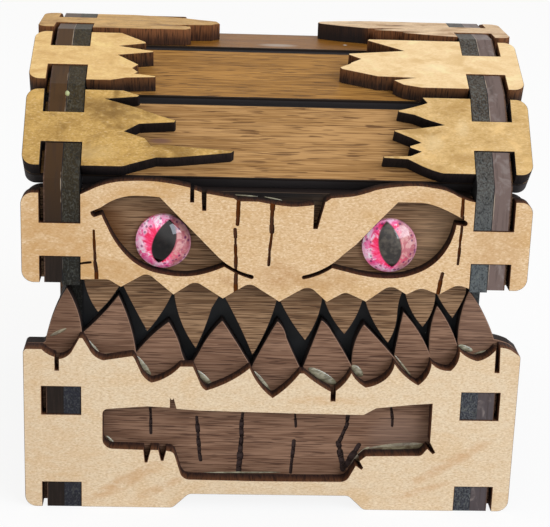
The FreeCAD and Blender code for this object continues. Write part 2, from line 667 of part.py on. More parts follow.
def make_lid_ends():
    outer = shell_in + size("end_gap")
    inner = lining_in + size("end_gap")
    for side, sign in (("left", -1), ("right", 1)):
        for name, shell, inside in (("lining", False, inner), ("shell", True, outer)):
            body = new_panel(f"lid_end_{name}_{side}", "YZ_Plane", [lid_end_outline(shell)])
            if shell:
                cut_hinge_bore(body, "pin_diameter / 2 + pin_clearance")
            place(body, inside if sign > 0 else -inside - ply, 0, 0)


# ---------------------------------------------------------------- lid slats


def slat_place(row, depth):
    """Placement of a slat layer; its own XY is the slat, its Z points out of the lid."""
    y, z = arch[row]
    degrees = math.degrees(slat_angles[row])
    tilt = Rotation(Vector(1, 0, 0), degrees)
    spot = Vector(0, y, z) + tilt.multVec(Vector(0, 0, depth))
    return Placement(spot, tilt)


def rear_place(row, depth):
    """The rear slats are the front ones turned half round."""
    turned = Placement(Vector(0, 0, 0), Rotation(Vector(0, 0, 1), 180.0))
    return turned.multiply(slat_place(row, depth))


def cut_slat_notches(body, sides):
    """Notches in both long edges of a slat, between the two given places across it."""
    low = cut_slot(body, body.Name + "_low", "XY_Plane", *sides, "0", "slat_notch")
    high = cut_slot(body, body.Name + "_high", "XY_Plane", *sides,
                    "slat_width - slat_notch", "slat_width")
    return [low, high]


def make_plank(label, placement):
    """A walnut plank across the whole lid."""
    corner = size("panel_corner")
    upper = size("slat_width - plank_gap")
    outline = [(-half_width, 0.0, 0.0, corner), (half_width, 0.0, 0.0, corner),
               (half_width, upper, 0.0, corner), (-half_width, upper, 0.0, corner)]
    body = new_panel(label, "XY_Plane", [outline])
    mirror(body, cut_slat_notches(body, WALNUT_SLOT))
    body.Placement = placement


def make_overlay(label, broken_end, side, placement):
    """A maple board over one end of a plank, split and broken off at its inner end."""
    corner = size("panel_corner")
    edge = carve_slat(broken_end)
    if side == "left":
        outline = [(-half_width, slat_width, 0.0, corner), (-half_width, 0.0, 0.0, corner)] + edge
    else:
        outline = [(half_width, 0.0, 0.0, corner), (half_width, slat_width, 0.0, corner)]
        outline += reverse_edge(edge)
    body = new_panel(label, "XY_Plane", [outline])
    cut_slat_notches(body, ("0 - slot_far", "0 - slot_near") if side == "left" else MAPLE_SLOT)
    body.Placement = placement


def make_slats():
    rows = (("front_low", 0, "low", slat_place), ("front_high", 1, "high", slat_place),
            ("top", 2, "top", slat_place), ("rear_high", 1, "high", rear_place),
            ("rear_low", 0, "low", rear_place))
    for name, row, style, placed in rows:
        make_plank(f"plank_{name}", placed(row, 0.0))
        for side in ("left", "right"):
            label_side = side
            if placed is rear_place:
                label_side = "right" if side == "left" else "left"
            make_overlay(f"overlay_{name}_{label_side}", BROKEN_ENDS[(style, side)], side,
                         placed(row, ply))


make_jaw_panels()
make_back_panels()
make_base_ends()
make_floor()
make_black_boards()
make_hinge_pins()
make_face_panels()
make_lid_back()
make_eyes()
make_lid_ends()
make_slats()
doc.recompute()

# ---------------------------------------------------------------- checks and export

for item in doc.Objects:
    if "Invalid" in item.State or "Error" in item.State:
        raise ValueError(f"{item.Name} failed: {item.State}")
pieces = [item for item in doc.Objects if item.isDerivedFrom("PartDesign::Body")
          or item.isDerivedFrom("Part::Cylinder")]
for piece in pieces:
    shape = piece.Shape
    if shape.isNull() or not shape.isValid() or len(shape.Solids) != 1:
        raise ValueError(f"{piece.Label} is not one valid solid")
os.makedirs("parts", exist_ok=True)
for piece in pieces:
    piece.Shape.exportStep(f"parts/{piece.Label}.step")
    print(f"{piece.Label:28s} {piece.Shape.Volume:9.1f} mm3")
print(len(pieces), "pieces, depth", round(2 * back, 2), "height", round(arch[2][1] + 2 * ply, 2))
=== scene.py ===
import math
import random

import bpy
from mathutils import Matrix, Vector


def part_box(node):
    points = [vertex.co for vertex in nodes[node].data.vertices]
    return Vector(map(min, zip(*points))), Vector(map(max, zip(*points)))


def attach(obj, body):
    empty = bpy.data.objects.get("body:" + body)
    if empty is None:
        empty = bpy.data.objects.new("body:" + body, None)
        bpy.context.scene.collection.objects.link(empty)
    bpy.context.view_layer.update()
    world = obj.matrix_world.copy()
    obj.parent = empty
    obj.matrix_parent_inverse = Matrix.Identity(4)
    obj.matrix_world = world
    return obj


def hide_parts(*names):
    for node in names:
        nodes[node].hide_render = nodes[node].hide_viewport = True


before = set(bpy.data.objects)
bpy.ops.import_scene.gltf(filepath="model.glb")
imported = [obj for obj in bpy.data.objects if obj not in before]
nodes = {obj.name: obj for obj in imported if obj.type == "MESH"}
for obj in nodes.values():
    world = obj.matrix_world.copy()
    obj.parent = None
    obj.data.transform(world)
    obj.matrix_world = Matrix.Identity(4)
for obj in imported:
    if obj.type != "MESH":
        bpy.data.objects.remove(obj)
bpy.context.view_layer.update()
MM = 0.001


# ------------------------------------------------------------------ front of the lid, maple
# The brow and the upper gums: a maple-faced plywood board, laser-cut round the eyes, with its
# grain across the chest in fine short flecks. The laser charred the cut edges nearly black and
# burnt ten thin lines into the face. It is glued onto the walnut board behind it.

PLY = 3.2
FRONT = (0.0, -1.0, 0.0)
FACE_Y = -40.922  # the front of the chest, in millimetres


class Socket:
    """A value or a vector inside a finish; sums on it add Math nodes."""

    def __init__(self, finish, socket):
        self.finish = finish
        self.socket = socket

    def maths(self, operation, *values):
        """A sum on numbers."""
        return self.finish.node("ShaderNodeMath", {"operation": operation}, values)

    def vector(self, operation, *values, output=0):
        """A sum on vectors."""
        return self.finish.node("ShaderNodeVectorMath", {"operation": operation}, values, output)

    def __add__(self, other):
        return self.maths("ADD", self, other)

    __radd__ = __add__

    def __sub__(self, other):
        return self.maths("SUBTRACT", self, other)

    def __rsub__(self, other):
        return self.maths("SUBTRACT", other, self)

    def __mul__(self, other):
        return self.maths("MULTIPLY", self, other)

    __rmul__ = __mul__

    def __truediv__(self, other):
        return self.maths("DIVIDE", self, other)

    def __pow__(self, other):
        return self.maths("POWER", self, other)

    def ramp(self, low, high):
        """0 below low, 1 above high and smooth between; low may be the larger."""
        values = {"Value": self, "From Min": low, "From Max": high}
        settings = {"interpolation_type": "SMOOTHSTEP"}
        return self.finish.node("ShaderNodeMapRange", settings, values)

    def most(self, other):
        """The larger of the two."""
        return self.maths("MAXIMUM", self, other)

    def size(self):
        """The value without its sign."""
        return self.maths("ABSOLUTE", self)

    def along(self, direction):
        """Distance along a direction, of a vector."""
        return self.vector("DOT_PRODUCT", self, tuple(direction), output=1)

    def part(self, index):
        """One number of a vector: 0, 1 or 2 for x, y or z."""
        return self.finish.node("ShaderNodeSeparateXYZ", {}, (self,), index)


class Finish:
    """A material under construction: its shader, and the place on the object in millimetres."""

    def __init__(self, name, roughness=0.5, **fixed):
        self.material = bpy.data.materials.new(name)
        self.material.use_nodes = True
        self.tree = self.material.node_tree
        self.shader = self.tree.nodes["Principled BSDF"]
        self.set("Roughness", roughness)
        for socket, value in fixed.items():
            self.set(socket.replace("_", " "), value)
        metres = self.node("ShaderNodeTexCoord", {}, (), "Object")
        self.spot = metres.vector("MULTIPLY", metres, (1 / MM, 1 / MM, 1 / MM))

    def set(self, socket, value):
        """Sets or feeds a socket of the shader by its name."""
        self.wire(self.shader.inputs[socket], value)

    def wire(self, socket, value):
        """Sets a socket to a value, or links it to one that is worked out."""
        if isinstance(value, Socket):
            self.tree.links.new(value.socket, socket)
        else:
            socket.default_value = value

    def node(self, kind, settings, values, output=0):
        """Any node: its kind, its settings, its inputs by name or in order, and which output."""
        made = self.tree.nodes.new(kind)
        for name, value in settings.items():
            setattr(made, name, value)
        pairs = values.items() if isinstance(values, dict) else enumerate(values)
        for name, value in pairs:
            self.wire(made.inputs[name], value)
        return Socket(self, made.outputs[output])

    def cells(self, lump, shift):
        """The place, counted in lumps of a pattern that may be longer one way, and moved."""
        counted = self.spot.vector("MULTIPLY", self.spot, tuple(1 / side for side in lump))
        return counted.vector("ADD", counted, shift)

    def cloud(self, lump, shift=(0.0, 0.0, 0.0), detail=3.0, warp=0.0):
        """Soft noise from 0 to 1 whose lumps are about as long as given, in millimetres."""
        values = {"Vector": self.cells(lump, shift), "Scale": 1.0, "Detail": detail,
                  "Roughness": 0.55, "Distortion": warp}
        return self.node("ShaderNodeTexNoise", {}, values)

    def specks(self, spacing, shift, radius):
        """1 inside small round dots that lie about a spacing apart, in millimetres."""
        values = {"Vector": self.cells((spacing,) * 3, shift), "Scale": 1.0}
        distance = self.node("ShaderNodeTexVoronoi", {}, values, "Distance") * spacing
        return distance.ramp(radius, radius * 0.5)

    def mark(self, middle, along, across, soft=0.35):
        """1 inside an oval: its middle, half its length and half its breadth, as places."""
        away = self.spot.vector("SUBTRACT", self.spot, tuple(middle))
        along, across = Vector(along), Vector(across)
        lengthwise = away.along(along / along.length_squared)
        crosswise = away.along(across / across.length_squared)
        return (lengthwise * lengthwise + crosswise * crosswise).ramp(1.0, soft)

    def tint(self, colour):
        """A colour written as 0 to 255 on the screen, made linear for the shader."""
        if isinstance(colour, Socket):
            return colour
        shares = [level / 255 for level in colour]
        linear = [c / 12.92 if c <= 0.04 else ((c + 0.055) / 1.055) ** 2.4 for c in shares]
        return (*linear, 1.0)

    def blend(self, share, under, over):
        """The under colour, covered by the over colour by share."""
        settings = {"data_type": "RGBA"}
        values = {0: share, 6: self.tint(under), 7: self.tint(over)}
        return self.node("ShaderNodeMix", settings, values, 2)

    def relief(self, height, depth, strength=1.0):
        """Bumps on the surface: height from 0 to 1, and the depth it stands for."""
        values = {"Height": height, "Distance": depth * MM, "Strength": strength}
        self.set("Normal", self.node("ShaderNodeBump", {}, values))


def depth_in(finish, node, outward):
    """Depth below the board's outer face, in millimetres, by its outward direction."""
    outward = Vector(outward)
    top = max(vertex.co.dot(outward) for vertex in nodes[node].data.vertices) / MM
    return top - finish.spot.along(outward)


def veneer(depth):
    """1 on the two faces of a board and 0 on its cut edges, by the depth below its face."""
    skin = 0.03
    return depth.ramp(skin, skin / 2).most(depth.ramp(PLY - skin, PLY - skin / 2))


PALE_FLECK = (255, 236, 204)
EDGE_SOOT = (30, 27, 27)
LINE_BROWN = (88, 42, 0)


def maple(name, node, outward, seed, tones, edge, stains_and_painted_light=(), smoky=0.0, scored=0.0, soots=()):
    """Tones: ground, blotch and fleck; edge: the char, and how it lightens towards the face.
    Stains and soots are rows for Finish.mark, on the face and on the cut edges, and some of the
    stains are painted sheen; smoky: how far smoke has clouded the face; scored: depth of burnt
    lines, whose shallow floors are brown."""
    ground, blotch, fleck_tone = tones
    finish = Finish(name, 0.5, Specular_IOR_Level=0.17)
    shift = (seed * 3.1, seed * 7.7, seed * 1.3)
    fleck = finish.cloud((0.55, 0.24, 0.24), shift, detail=2.0, warp=0.5)
    ripple = finish.cloud((2.6, 1.3, 1.3), shift, detail=4.0, warp=0.4)
    patch = finish.cloud((15.0, 7.0, 7.0), shift, detail=3.0, warp=1.2)
    face = finish.blend(ripple.ramp(0.34, 0.66) * (0.35 + 0.5 * smoky), ground, blotch)
    face = finish.blend(patch.ramp(0.50, 0.72) * 0.75, face, blotch)
    face = finish.blend(fleck.ramp(0.46, 0.68) * (0.62 - 0.4 * smoky), face, fleck_tone)
    face = finish.blend(fleck.ramp(0.45, 0.3) * (0.36 - 0.24 * smoky), face, PALE_FLECK)
    if smoky:
        smoke = finish.cloud((6.0, 4.0, 4.0), shift, detail=5.0, warp=0.5)
        face = finish.blend(smoke.ramp(0.50, 0.68) * smoky, face, fleck_tone)
        glow = tuple(min(255.0, level * 1.1) for level in ground)
        face = finish.blend(smoke.ramp(0.46, 0.30) * smoky * 0.8, face, glow)
    depth = depth_in(finish, node, outward)
    outside = depth.ramp(PLY / 2, PLY / 2 - 0.2)
    # stains, and on some boards pale ovals of painted sheen
    for middle, along, across, strength, colour in stains_and_painted_light:
        oval = finish.mark(middle, along, across, 0.0) * ripple.ramp(0.2, 0.6) * strength
        face = finish.blend(oval * outside, face, colour)
    flat = veneer(depth)
    char, light_char = edge
    streak = finish.cloud((0.28, 3.0, 3.0), shift, detail=3.0)
    lighter = depth.ramp(2.6, 0.1) * 0.85 + streak.ramp(0.5, 0.7) * 0.3
    burnt = finish.blend(lighter, char, light_char)
    soot = tuple(level * 0.5 for level in char)
    burnt = finish.blend(streak.ramp(0.5, 0.34) * 0.7, burnt, soot)
    for middle, along, across in soots:
        burnt = finish.blend(finish.mark(middle, along, across, 0.5) * 0.85, burnt, EDGE_SOOT)
    if scored:
        burnt = finish.blend((depth - scored).size().ramp(0.02, 0.01), burnt, LINE_BROWN)
    finish.set("Base Color", finish.blend(flat, burnt, face))
    finish.set("Roughness", 0.78 - flat * 0.26 + fleck * 0.08)
    finish.relief(fleck * 0.3 + ripple * 0.5 + streak * (1 - flat), 0.04, 0.4)
    return finish


def only(piece):
    """Selects one piece and nothing else."""
    bpy.ops.object.select_all(action="DESELECT")
    piece.select_set(True)
    bpy.context.view_layer.objects.active = piece


# points this near are one point; faces and corners this many degrees apart are flat or sharp
SAME_POINT = 0.001
SAME_PLANE = 0.4
SHARP_CORNER = 60


def finer_board(node, rubbed=0.1):
    """A copy of a board with its triangles joined up and the corners of its cut edges rubbed."""
    board = bpy.data.objects.new(node + "_board", nodes[node].data.copy())
    bpy.context.scene.collection.objects.link(board)
    only(board)
    bpy.ops.object.mode_set(mode="EDIT")
    bpy.ops.mesh.select_all(action="SELECT")
    bpy.ops.mesh.remove_doubles(threshold=SAME_POINT * MM)
    bpy.ops.mesh.dissolve_limited(angle_limit=math.radians(SAME_PLANE))
    bpy.ops.object.mode_set(mode="OBJECT")
    corners = board.modifiers.new("rubbed_corners", "BEVEL")
    corners.width = rubbed * MM
    corners.segments = 1
    corners.limit_method = "ANGLE"
    corners.angle_limit = math.radians(SHARP_CORNER)
    corners.use_clamp_overlap = False
    bpy.ops.object.modifier_apply(modifier=corners.name)
    return board


def stretch(cutter, half, radius):
    """Draws the two ends of a round cutter apart, so that it is long with round ends."""
    for end in (-1, 1):
        bpy.ops.object.mode_set(mode="EDIT")
        bpy.ops.mesh.select_mode(type="VERT")
        bpy.ops.mesh.select_all(action="DESELECT")
        bpy.ops.object.mode_set(mode="OBJECT")
        for vertex in cutter.data.vertices:
            vertex.select = vertex.co.x * end > radius / 100
        bpy.ops.object.mode_set(mode="EDIT")
        bpy.ops.transform.translate(value=(end * (half - radius), 0.0, 0.0))
        bpy.ops.object.mode_set(mode="OBJECT")


# a burnt line: its short lengths, how far they wander sideways, their overlap as a share,
# the thinnest as a share of the full breadth, and the step between their floors
BURN_LENGTH = 1.5
BURN_WANDER = 0.08
BURN_LAP = 0.2
BURN_THINNEST = 0.62
BURN_STEP = 0.007


def uneven(lines, seed):
    """Breaks lines into short lengths that waver and swell a little, as burnt ones do."""
    chance = random.Random(seed)
    lengths = []
    for start, end, breadth in lines:
        start, run = Vector(start), Vector(end) - Vector(start)
        side = Vector((-run.y, run.x)).normalized()
        count = max(2, round(run.length / BURN_LENGTH))
        points = [start + run * step / count + side * chance.uniform(-BURN_WANDER, BURN_WANDER)
                  for step in range(count + 1)]
        for near, far in zip(points, points[1:]):
            lap = (far - near) * BURN_LAP
            lengths.append((near - lap, far + lap, breadth * chance.uniform(BURN_THINNEST, 1.0)))
    return lengths


def score(board, lines, face, depth):
    """Burns lines into a board that stands upright: two ends (x, z), a breadth, and a depth."""
    cutters = []
    for number, (start, end, breadth) in enumerate(uneven(lines, len(lines))):
        start, end = Vector(start) * MM, Vector(end) * MM
        # floors that meet lie at different depths, because level ones don't cut cleanly
        deeper = BURN_STEP * (number % 5)
        middle = (start + end) / 2
        radius = breadth / 2 * MM
        bpy.ops.object.select_all(action="DESELECT")
        bpy.ops.mesh.primitive_cylinder_add(
            vertices=14, radius=radius, depth=2 * (depth + deeper) * MM,
            location=(middle.x, face * MM, middle.y), rotation=(math.pi / 2, 0.0, 0.0))
        cutter = bpy.context.object
        stretch(cutter, (end - start).length / 2, radius)
        lean = math.atan2(end.y - start.y, end.x - start.x)
        bpy.ops.object.mode_set(mode="EDIT")
        bpy.ops.mesh.select_all(action="SELECT")
        bpy.ops.transform.rotate(value=lean, orient_axis="Y", center_override=cutter.location)
        bpy.ops.object.mode_set(mode="OBJECT")
        cutters.append(cutter)
    bpy.ops.object.select_all(action="DESELECT")
    for cutter in cutters:
        cutter.select_set(True)
    bpy.context.view_layer.objects.active = cutters[0]
    bpy.ops.object.join()
    joined = bpy.context.object
    only(board)
    burn = board.modifiers.new("burnt_lines", "BOOLEAN")
    burn.operation = "DIFFERENCE"
    burn.solver = "EXACT"
    burn.use_self = True
    burn.object = joined
    bpy.ops.object.modifier_apply(modifier=burn.name)
    bpy.data.objects.remove(joined, do_unlink=True)


def dress(piece, finish):
    """Gives a piece its finish and nothing else."""
    piece.data.materials.clear()
    piece.data.materials.append(finish.material)
    piece.data.polygons.foreach_set("material_index", [0] * len(piece.data.polygons))


def stand_in(board, node, body, finish):
    """The finer board takes the place of the frame's own."""
    dress(board, finish)
    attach(board, body)
    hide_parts(node)


FACE_TONES = ((222, 189, 147), (208, 168, 116), (188, 146, 96))
FACE_BURNT = ((38, 24, 19), (84, 50, 30))
LINE_DEPTH = 0.3
FACE_LINES = (
    # two ends (x, z), breadth
    ((-7.2, 60.8), (-7.25, 56.4), 0.85), ((-7.65, 55.5), (-7.4, 49.5), 0.7),
    ((-7.4, 50.2), (-7.3, 43.6), 0.85), ((-1.15, 60.6), (-1.0, 55.0), 1.0),
    ((-1.0, 56.0), (-1.5, 48.9), 0.75), ((-33.05, 54.6), (-32.8, 49.6), 0.7),
    ((-32.85, 50.4), (-32.45, 45.4), 0.8), ((33.15, 62.2), (33.2, 58.8), 0.85),
    ((33.4, 58.6), (32.95, 49.8), 0.7), ((30.35, 47.9), (29.7, 43.9), 0.9),
)
# a short thorn burnt deep into the edge of a slot
THORN = (((-35.9, 48.4), (-33.6, 48.7), 0.6),)
THORN_DEPTH = 2.2
FACE_STAINS = (
    # middle, half its length, half its breadth, strength, colour
    ((0.6, FACE_Y, 47.0), (5.0, 0.0, 0.4), (0.0, 0.0, 3.6), 0.4, (166, 112, 52)),
    ((-8.5, FACE_Y, 45.6), (2.4, 0.0, -0.6), (0.3, 0.0, 1.2), 0.35, (158, 104, 44)),
    ((-40.0, FACE_Y, 52.0), (10.0, 0.0, 0.0), (0.0, 0.0, 13.0), 0.55, (192, 144, 84)),
    ((-29.0, FACE_Y, 47.0), (9.0, 0.0, -2.0), (0.6, 0.0, 3.4), 0.5, (188, 140, 78)),
    ((-24.0, FACE_Y, 61.5), (9.0, 0.0, 2.0), (-0.5, 0.0, 2.8), 0.5, (196, 148, 84)),
    ((30.0, FACE_Y, 61.0), (12.0, 0.0, 0.0), (0.0, 0.0, 2.6), 0.35, (196, 150, 92)),
    ((9.0, FACE_Y, 46.0), (8.0, 0.0, 0.0), (0.0, 0.0, 2.4), 0.45, (176, 130, 78)),
    ((40.0, FACE_Y, 51.0), (6.0, 0.0, 0.0), (0.0, 0.0, 12.0), 0.45, (190, 148, 100)),
)

face_board = finer_board("face_maple")
score(face_board, FACE_LINES, FACE_Y, LINE_DEPTH)
score(face_board, THORN, FACE_Y, THORN_DEPTH)
stand_in(face_board, "face_maple", "lid",
         maple("maple_face", "face_maple", FRONT, 1, FACE_TONES, FACE_BURNT, FACE_STAINS,
               scored=LINE_DEPTH))


# ------------------------------------------------------------------ front of the box, maple
# The jaw: a maple-faced plywood board like the brow, paler, with the lower gums cut along its
# top edge and the lip cut out as a window with splinters. It is glued onto the walnut teeth.

JAW_TONES = ((224, 202, 170), (216, 184, 142), (196, 164, 124))
BURNT = ((54, 34, 28), (106, 68, 44))
JAW_STAINS = (
    ((34.0, FACE_Y, 10.0), (9.5, 0.0, 6.0), (-0.8, 0.0, 1.3), 0.36, (190, 134, 78)),
    ((29.0, FACE_Y, 4.2), (7.0, 0.0, 1.6), (-0.3, 0.0, 0.9), 0.3, (190, 134, 78)),
    ((-27.0, FACE_Y, 5.5), (9.0, 0.0, 5.0), (-0.9, 0.0, 1.6), 0.45, (190, 138, 82)),
    ((-21.0, FACE_Y, 4.0), (7.0, 0.0, 3.2), (-0.5, 0.0, 1.0), 0.35, (190, 138, 82)),
    ((-29.0, FACE_Y, 14.5), (1.4, 0.0, -0.4), (0.2, 0.0, 0.8), 0.35, (192, 142, 86)),
    ((10.0, FACE_Y, 22.5), (10.0, 0.0, 0.6), (0.0, 0.0, 1.2), 0.3, (204, 156, 100)),
    ((-42.0, FACE_Y, 12.0), (12.0, 0.0, 0.0), (0.0, 0.0, 22.0), 0.18, (198, 156, 106)),
)

stand_in(finer_board("jaw_maple"), "jaw_maple", "base",
         maple("maple_jaw", "jaw_maple", FRONT, 2, JAW_TONES, BURNT, JAW_STAINS))


# ------------------------------------------------------------------ backs, maple
# The outer layers of the two rear panels, one on the box and one on the lid: plain maple-faced
# boards with the same slots for the tabs of the ends.

BACK = (0.0, 1.0, 0.0)

stand_in(finer_board("back_maple"), "back_maple", "base",
         maple("maple_back", "back_maple", BACK, 3, JAW_TONES, BURNT))
stand_in(finer_board("lid_back_maple"), "lid_back_maple", "lid",
         maple("maple_lid_back", "lid_back_maple", BACK, 4, FACE_TONES, BURNT))


# ------------------------------------------------------------------ front of the box, walnut
# The lower teeth, and the wood that shows in the lip: a walnut-faced board glued behind the jaw,
# brown with long darker pores. Cracks are burnt into the lip, the cut edges are sooty, and their
# rims are paler.

LAYER_Y = FACE_Y + PLY
CRACK = (34, 26, 23)
LIP_CRACK = (64, 50, 47)


def walnut(name, node, outward, seed, tones, edge, stains_and_painted_light=(), line=0.27, bold=1.0, worn=0.4,
           hem=0.0, cracked=0.0):
    """Tones: light wood, dark wood and pore; line and bold: breadth and strength of the grain;
    worn: how pale the rim of the cut edge is; hem: breadth of the dark band along the long edges;
    cracked: the height up to which cracks are burnt in, which have no pale rim."""
    light, dark, pore = tones
    finish = Finish(name, 0.42, Specular_IOR_Level=0.15)
    shift = (seed * 5.3, seed * 2.9, seed * 4.1)
    band = finish.cloud((34.0, 3.0, 3.0), shift, detail=3.0, warp=0.3)
    grain = finish.cloud((40 * line, line, line), shift, detail=2.0)
    pores = finish.cloud((26 * line, 0.8 * line, 0.8 * line), shift, detail=1.0)
    spread = 0.08 / bold
    face = finish.blend((grain * 0.7 + band * 0.3).ramp(0.5 - spread, 0.5 + spread), dark, light)
    face = finish.blend(pores.ramp(0.58, 0.66) * 0.85 * bold, face, pore)
    dash = finish.cloud((4.2, 0.26, 0.26), shift, detail=0.0)
    face = finish.blend(dash.ramp(0.66, 0.74) * 0.75, face, pore)
    depth = depth_in(finish, node, outward)
    outside = depth.ramp(PLY / 2, PLY / 2 - 0.2)
    # stains, and ovals of painted shade, light and sheen: darker on the left, paler on the right
    # and on top
    for middle, along, across, strength, colour in stains_and_painted_light:
        oval = finish.mark(middle, along, across, 0.0) * outside * strength
        face = finish.blend(oval * grain.ramp(0.1, 0.4), face, colour)
    if hem:
        slope = Vector((1.0, 0.0, 0.0)).cross(Vector(outward))
        reach = [vertex.co.dot(slope) / MM for vertex in nodes[node].data.vertices]
        place = finish.spot.along(slope)
        lower = (place - min(reach)).ramp(hem, hem * 0.6)
        upper = (max(reach) - place).ramp(hem, hem * 0.6)
        face = finish.blend(lower.most(upper), face, CRACK)
    flat = veneer(depth)
    rim = tuple(worn * (wood + char) for wood, char in zip(light, edge))
    cut = finish.blend(depth.ramp(0.6, 0.4), edge, CRACK)
    above = (finish.spot.part(2) - cracked).ramp(0.0, 0.5)
    cut = finish.blend(depth.ramp(0.6, 0.4) * (1 - above), cut, LIP_CRACK)
    rubbed = depth.ramp(0.20, 0.06) * above
    cut = finish.blend(rubbed * 0.85, cut, rim)
    finish.set("Base Color", finish.blend(flat, cut, face))
    finish.set("Roughness", 0.72 - flat * 0.28 + grain * 0.06)
    finish.relief(1 - pores.ramp(0.56, 0.70), 0.05, 0.5)
    return finish


LOWER_TONES = ((144, 111, 89), (114, 83, 64), (73, 48, 36))
SOOT = (44, 35, 32)
WORN_CORNER = 0.17
CRACK_DEPTH = 0.35
LIP_TOP = 21.0  # the height below which all the walnut that shows is the lip
LIP_CRACKS = (
    # two ends (x, z), breadth
    ((-22.75, 19.9), (-22.45, 14.0), 0.7), ((-13.95, 17.4), (-13.1, 8.5), 0.95),
    ((-5.3, 18.4), (-5.45, 12.0), 0.9), ((-5.35, 13.2), (-5.75, 5.9), 1.4),
    ((4.6, 18.7), (4.9, 15.8), 0.6), ((4.55, 12.8), (4.25, 6.2), 0.9),
    ((14.75, 18.8), (14.45, 15.7), 1.0), ((14.65, 16.5), (13.25, 12.6), 0.95),
    ((13.1, 12.8), (13.6, 10.4), 1.25), ((13.45, 11.0), (14.35, 6.8), 1.6),
    ((17.1, 12.2), (14.6, 7.6), 1.4), ((22.75, 20.4), (23.3, 16.2), 0.7),
)
LOWER_STAINS_AND_SHADE = (
    # painted shade: darker at the left end of the lower teeth
    ((-39.5, LAYER_Y, 38.0), (5.0, 0.0, 0.0), (0.0, 0.0, 9.0), 0.5, (88, 60, 44)),
    # painted light: paler at the right end, as the light falls from the right
    ((38.0, LAYER_Y, 38.0), (5.0, 0.0, 0.0), (0.0, 0.0, 9.0), 0.12, (156, 130, 116)),
    ((15.6, LAYER_Y, 8.8), (1.4, 0.0, 1.6), (0.8, 0.0, -0.7), 0.9, (58, 46, 42)),
    # painted light: paler and greyer over the right of the lip
    ((25.0, LAYER_Y, 14.0), (8.0, 0.0, 0.0), (0.0, 0.0, 6.0), 0.35, (146, 122, 108)),
)

jaw_teeth = finer_board("jaw_walnut_teeth", WORN_CORNER)
score(jaw_teeth, LIP_CRACKS, LAYER_Y, CRACK_DEPTH)
stand_in(jaw_teeth, "jaw_walnut_teeth", "base",
         walnut("walnut_jaw", "jaw_walnut_teeth", FRONT, 1, LOWER_TONES, SOOT, LOWER_STAINS_AND_SHADE,
                worn=0.85, cracked=LIP_TOP))


# ------------------------------------------------------------------ front of the lid, walnut
# The upper teeth and the ground of the eye sockets: a walnut-faced board glued behind the brow,
# lighter than the lower teeth. Painted shade darkens it nearly black along the brow, in the gap
# under the lid's lowest plank; round the left eye it is reddish and darker, partly its own colour
# and partly painted shade, and round the right eye painted light makes it paler, as the light falls
# from the right.

UPPER_TONES = ((155, 123, 92), (109, 80, 55), (68, 45, 29))
UPPER_STAINS_AND_SHADE = (
    # painted shade: nearly black along the brow, in the gap under the lid's lowest plank
    ((-1.0, LAYER_Y, 62.4), (26.0, 0.0, 0.0), (0.0, 0.0, 5.2), 1.0, (22, 20, 20)),
    # reddish wood round the left eye, darkened further as painted shade
    ((-34.0, LAYER_Y, 53.0), (9.0, 0.0, 0.0), (0.0, 0.0, 9.0), 0.95, (100, 60, 26)),
    # painted light: paler round the right eye
    ((33.0, LAYER_Y, 54.0), (12.0, 0.0, 0.0), (0.0, 0.0, 8.0), 0.4, (166, 136, 106)),
)

stand_in(finer_board("face_walnut_teeth"), "face_walnut_teeth", "lid",
         walnut("walnut_face", "face_walnut_teeth", FRONT, 2, UPPER_TONES, SOOT, UPPER_STAINS_AND_SHADE))


# ------------------------------------------------------------------ backs, walnut
# The inner layers of the two rear panels: walnut-faced boards glued to the maple ones, which show
# only at their sooty edges and inside the lid.

HIDDEN_TONES = ((120, 92, 72), (92, 66, 50), (62, 42, 32))


def wear(node, finish):
    """Gives a board of the frame its finish."""
    for slot in nodes[node].material_slots:
        slot.material = finish.material


wear("back_walnut", walnut("walnut_back", "back_walnut", BACK, 3, HIDDEN_TONES, SOOT))
wear("lid_back_walnut", walnut("walnut_lid_back", "lid_back_walnut", BACK, 4, HIDDEN_TONES, SOOT))


# ------------------------------------------------------------------ varnish in the gums
# Where the walnut meets the cut edge of the gums, the lip and the brow, varnish has gathered and
# dried in thin glossy pools and smears, cloudy; their pale grey-green is partly a painted
# reflection of the window.

POOL_HEIGHT = 0.22
POOLS = (
    # middle (x, z), half length, half breadth, lean in degrees, how pale it is, as painted
    # reflection
    (-39.8, 34.0, 1.7, 0.34, 27, 0.25), (-33.7, 31.6, 2.7, 0.36, -50, 0.7),
    (-29.2, 29.9, 2.6, 0.24, 4, 0.8),
    (-24.2, 27.7, 2.5, 0.60, -53, 0.7), (-12.6, 25.3, 2.2, 0.55, -46, 0.7),
    (-1.9, 24.8, 2.8, 0.55, -51, 0.7), (9.5, 26.1, 3.2, 0.85, -30, 0.8),
    (16.0, 27.3, 1.5, 0.75, -47, 0.7), (24.6, 28.4, 2.8, 0.24, -51, 0.3),
    (36.1, 32.2, 1.5, 0.55, -20, 1.0), (39.2, 31.5, 1.6, 0.22, 17, 0.5),
    (17.4, 9.6, 2.7, 0.80, 52, 0.1), (23.9, 11.6, 5.9, 0.95, 7, 0.2),
    (-5.1, 6.05, 7.4, 0.18, 1, 0.7), (-30.1, 12.4, 1.3, 0.30, -47, 0.6),
)
BROW_POOLS = ((-6.2, 60.95, 2.6, 0.14, -3, 0.7), (-0.9, 60.5, 1.7, 0.13, -10, 0.7))


def varnish(name, pale_shine):
    """Glossy and cloudy, and paler by a share from 0 to 1, a painted reflection."""
    finish = Finish(name, 0.25, Specular_IOR_Level=0.3, Coat_Weight=1.0, Coat_Roughness=0.1)
    cloudy = finish.cloud((2.4, 0.9, 0.9), detail=4.0, warp=1.0)
    light = (142 + 34 * pale_shine, 130 + 42 * pale_shine, 102 + 44 * pale_shine)
    dark = (98 + 20 * pale_shine, 80 + 34 * pale_shine, 60 + 30 * pale_shine)
    finish.set("Base Color", finish.blend(cloudy.ramp(0.38, 0.62), dark, light))
    return finish


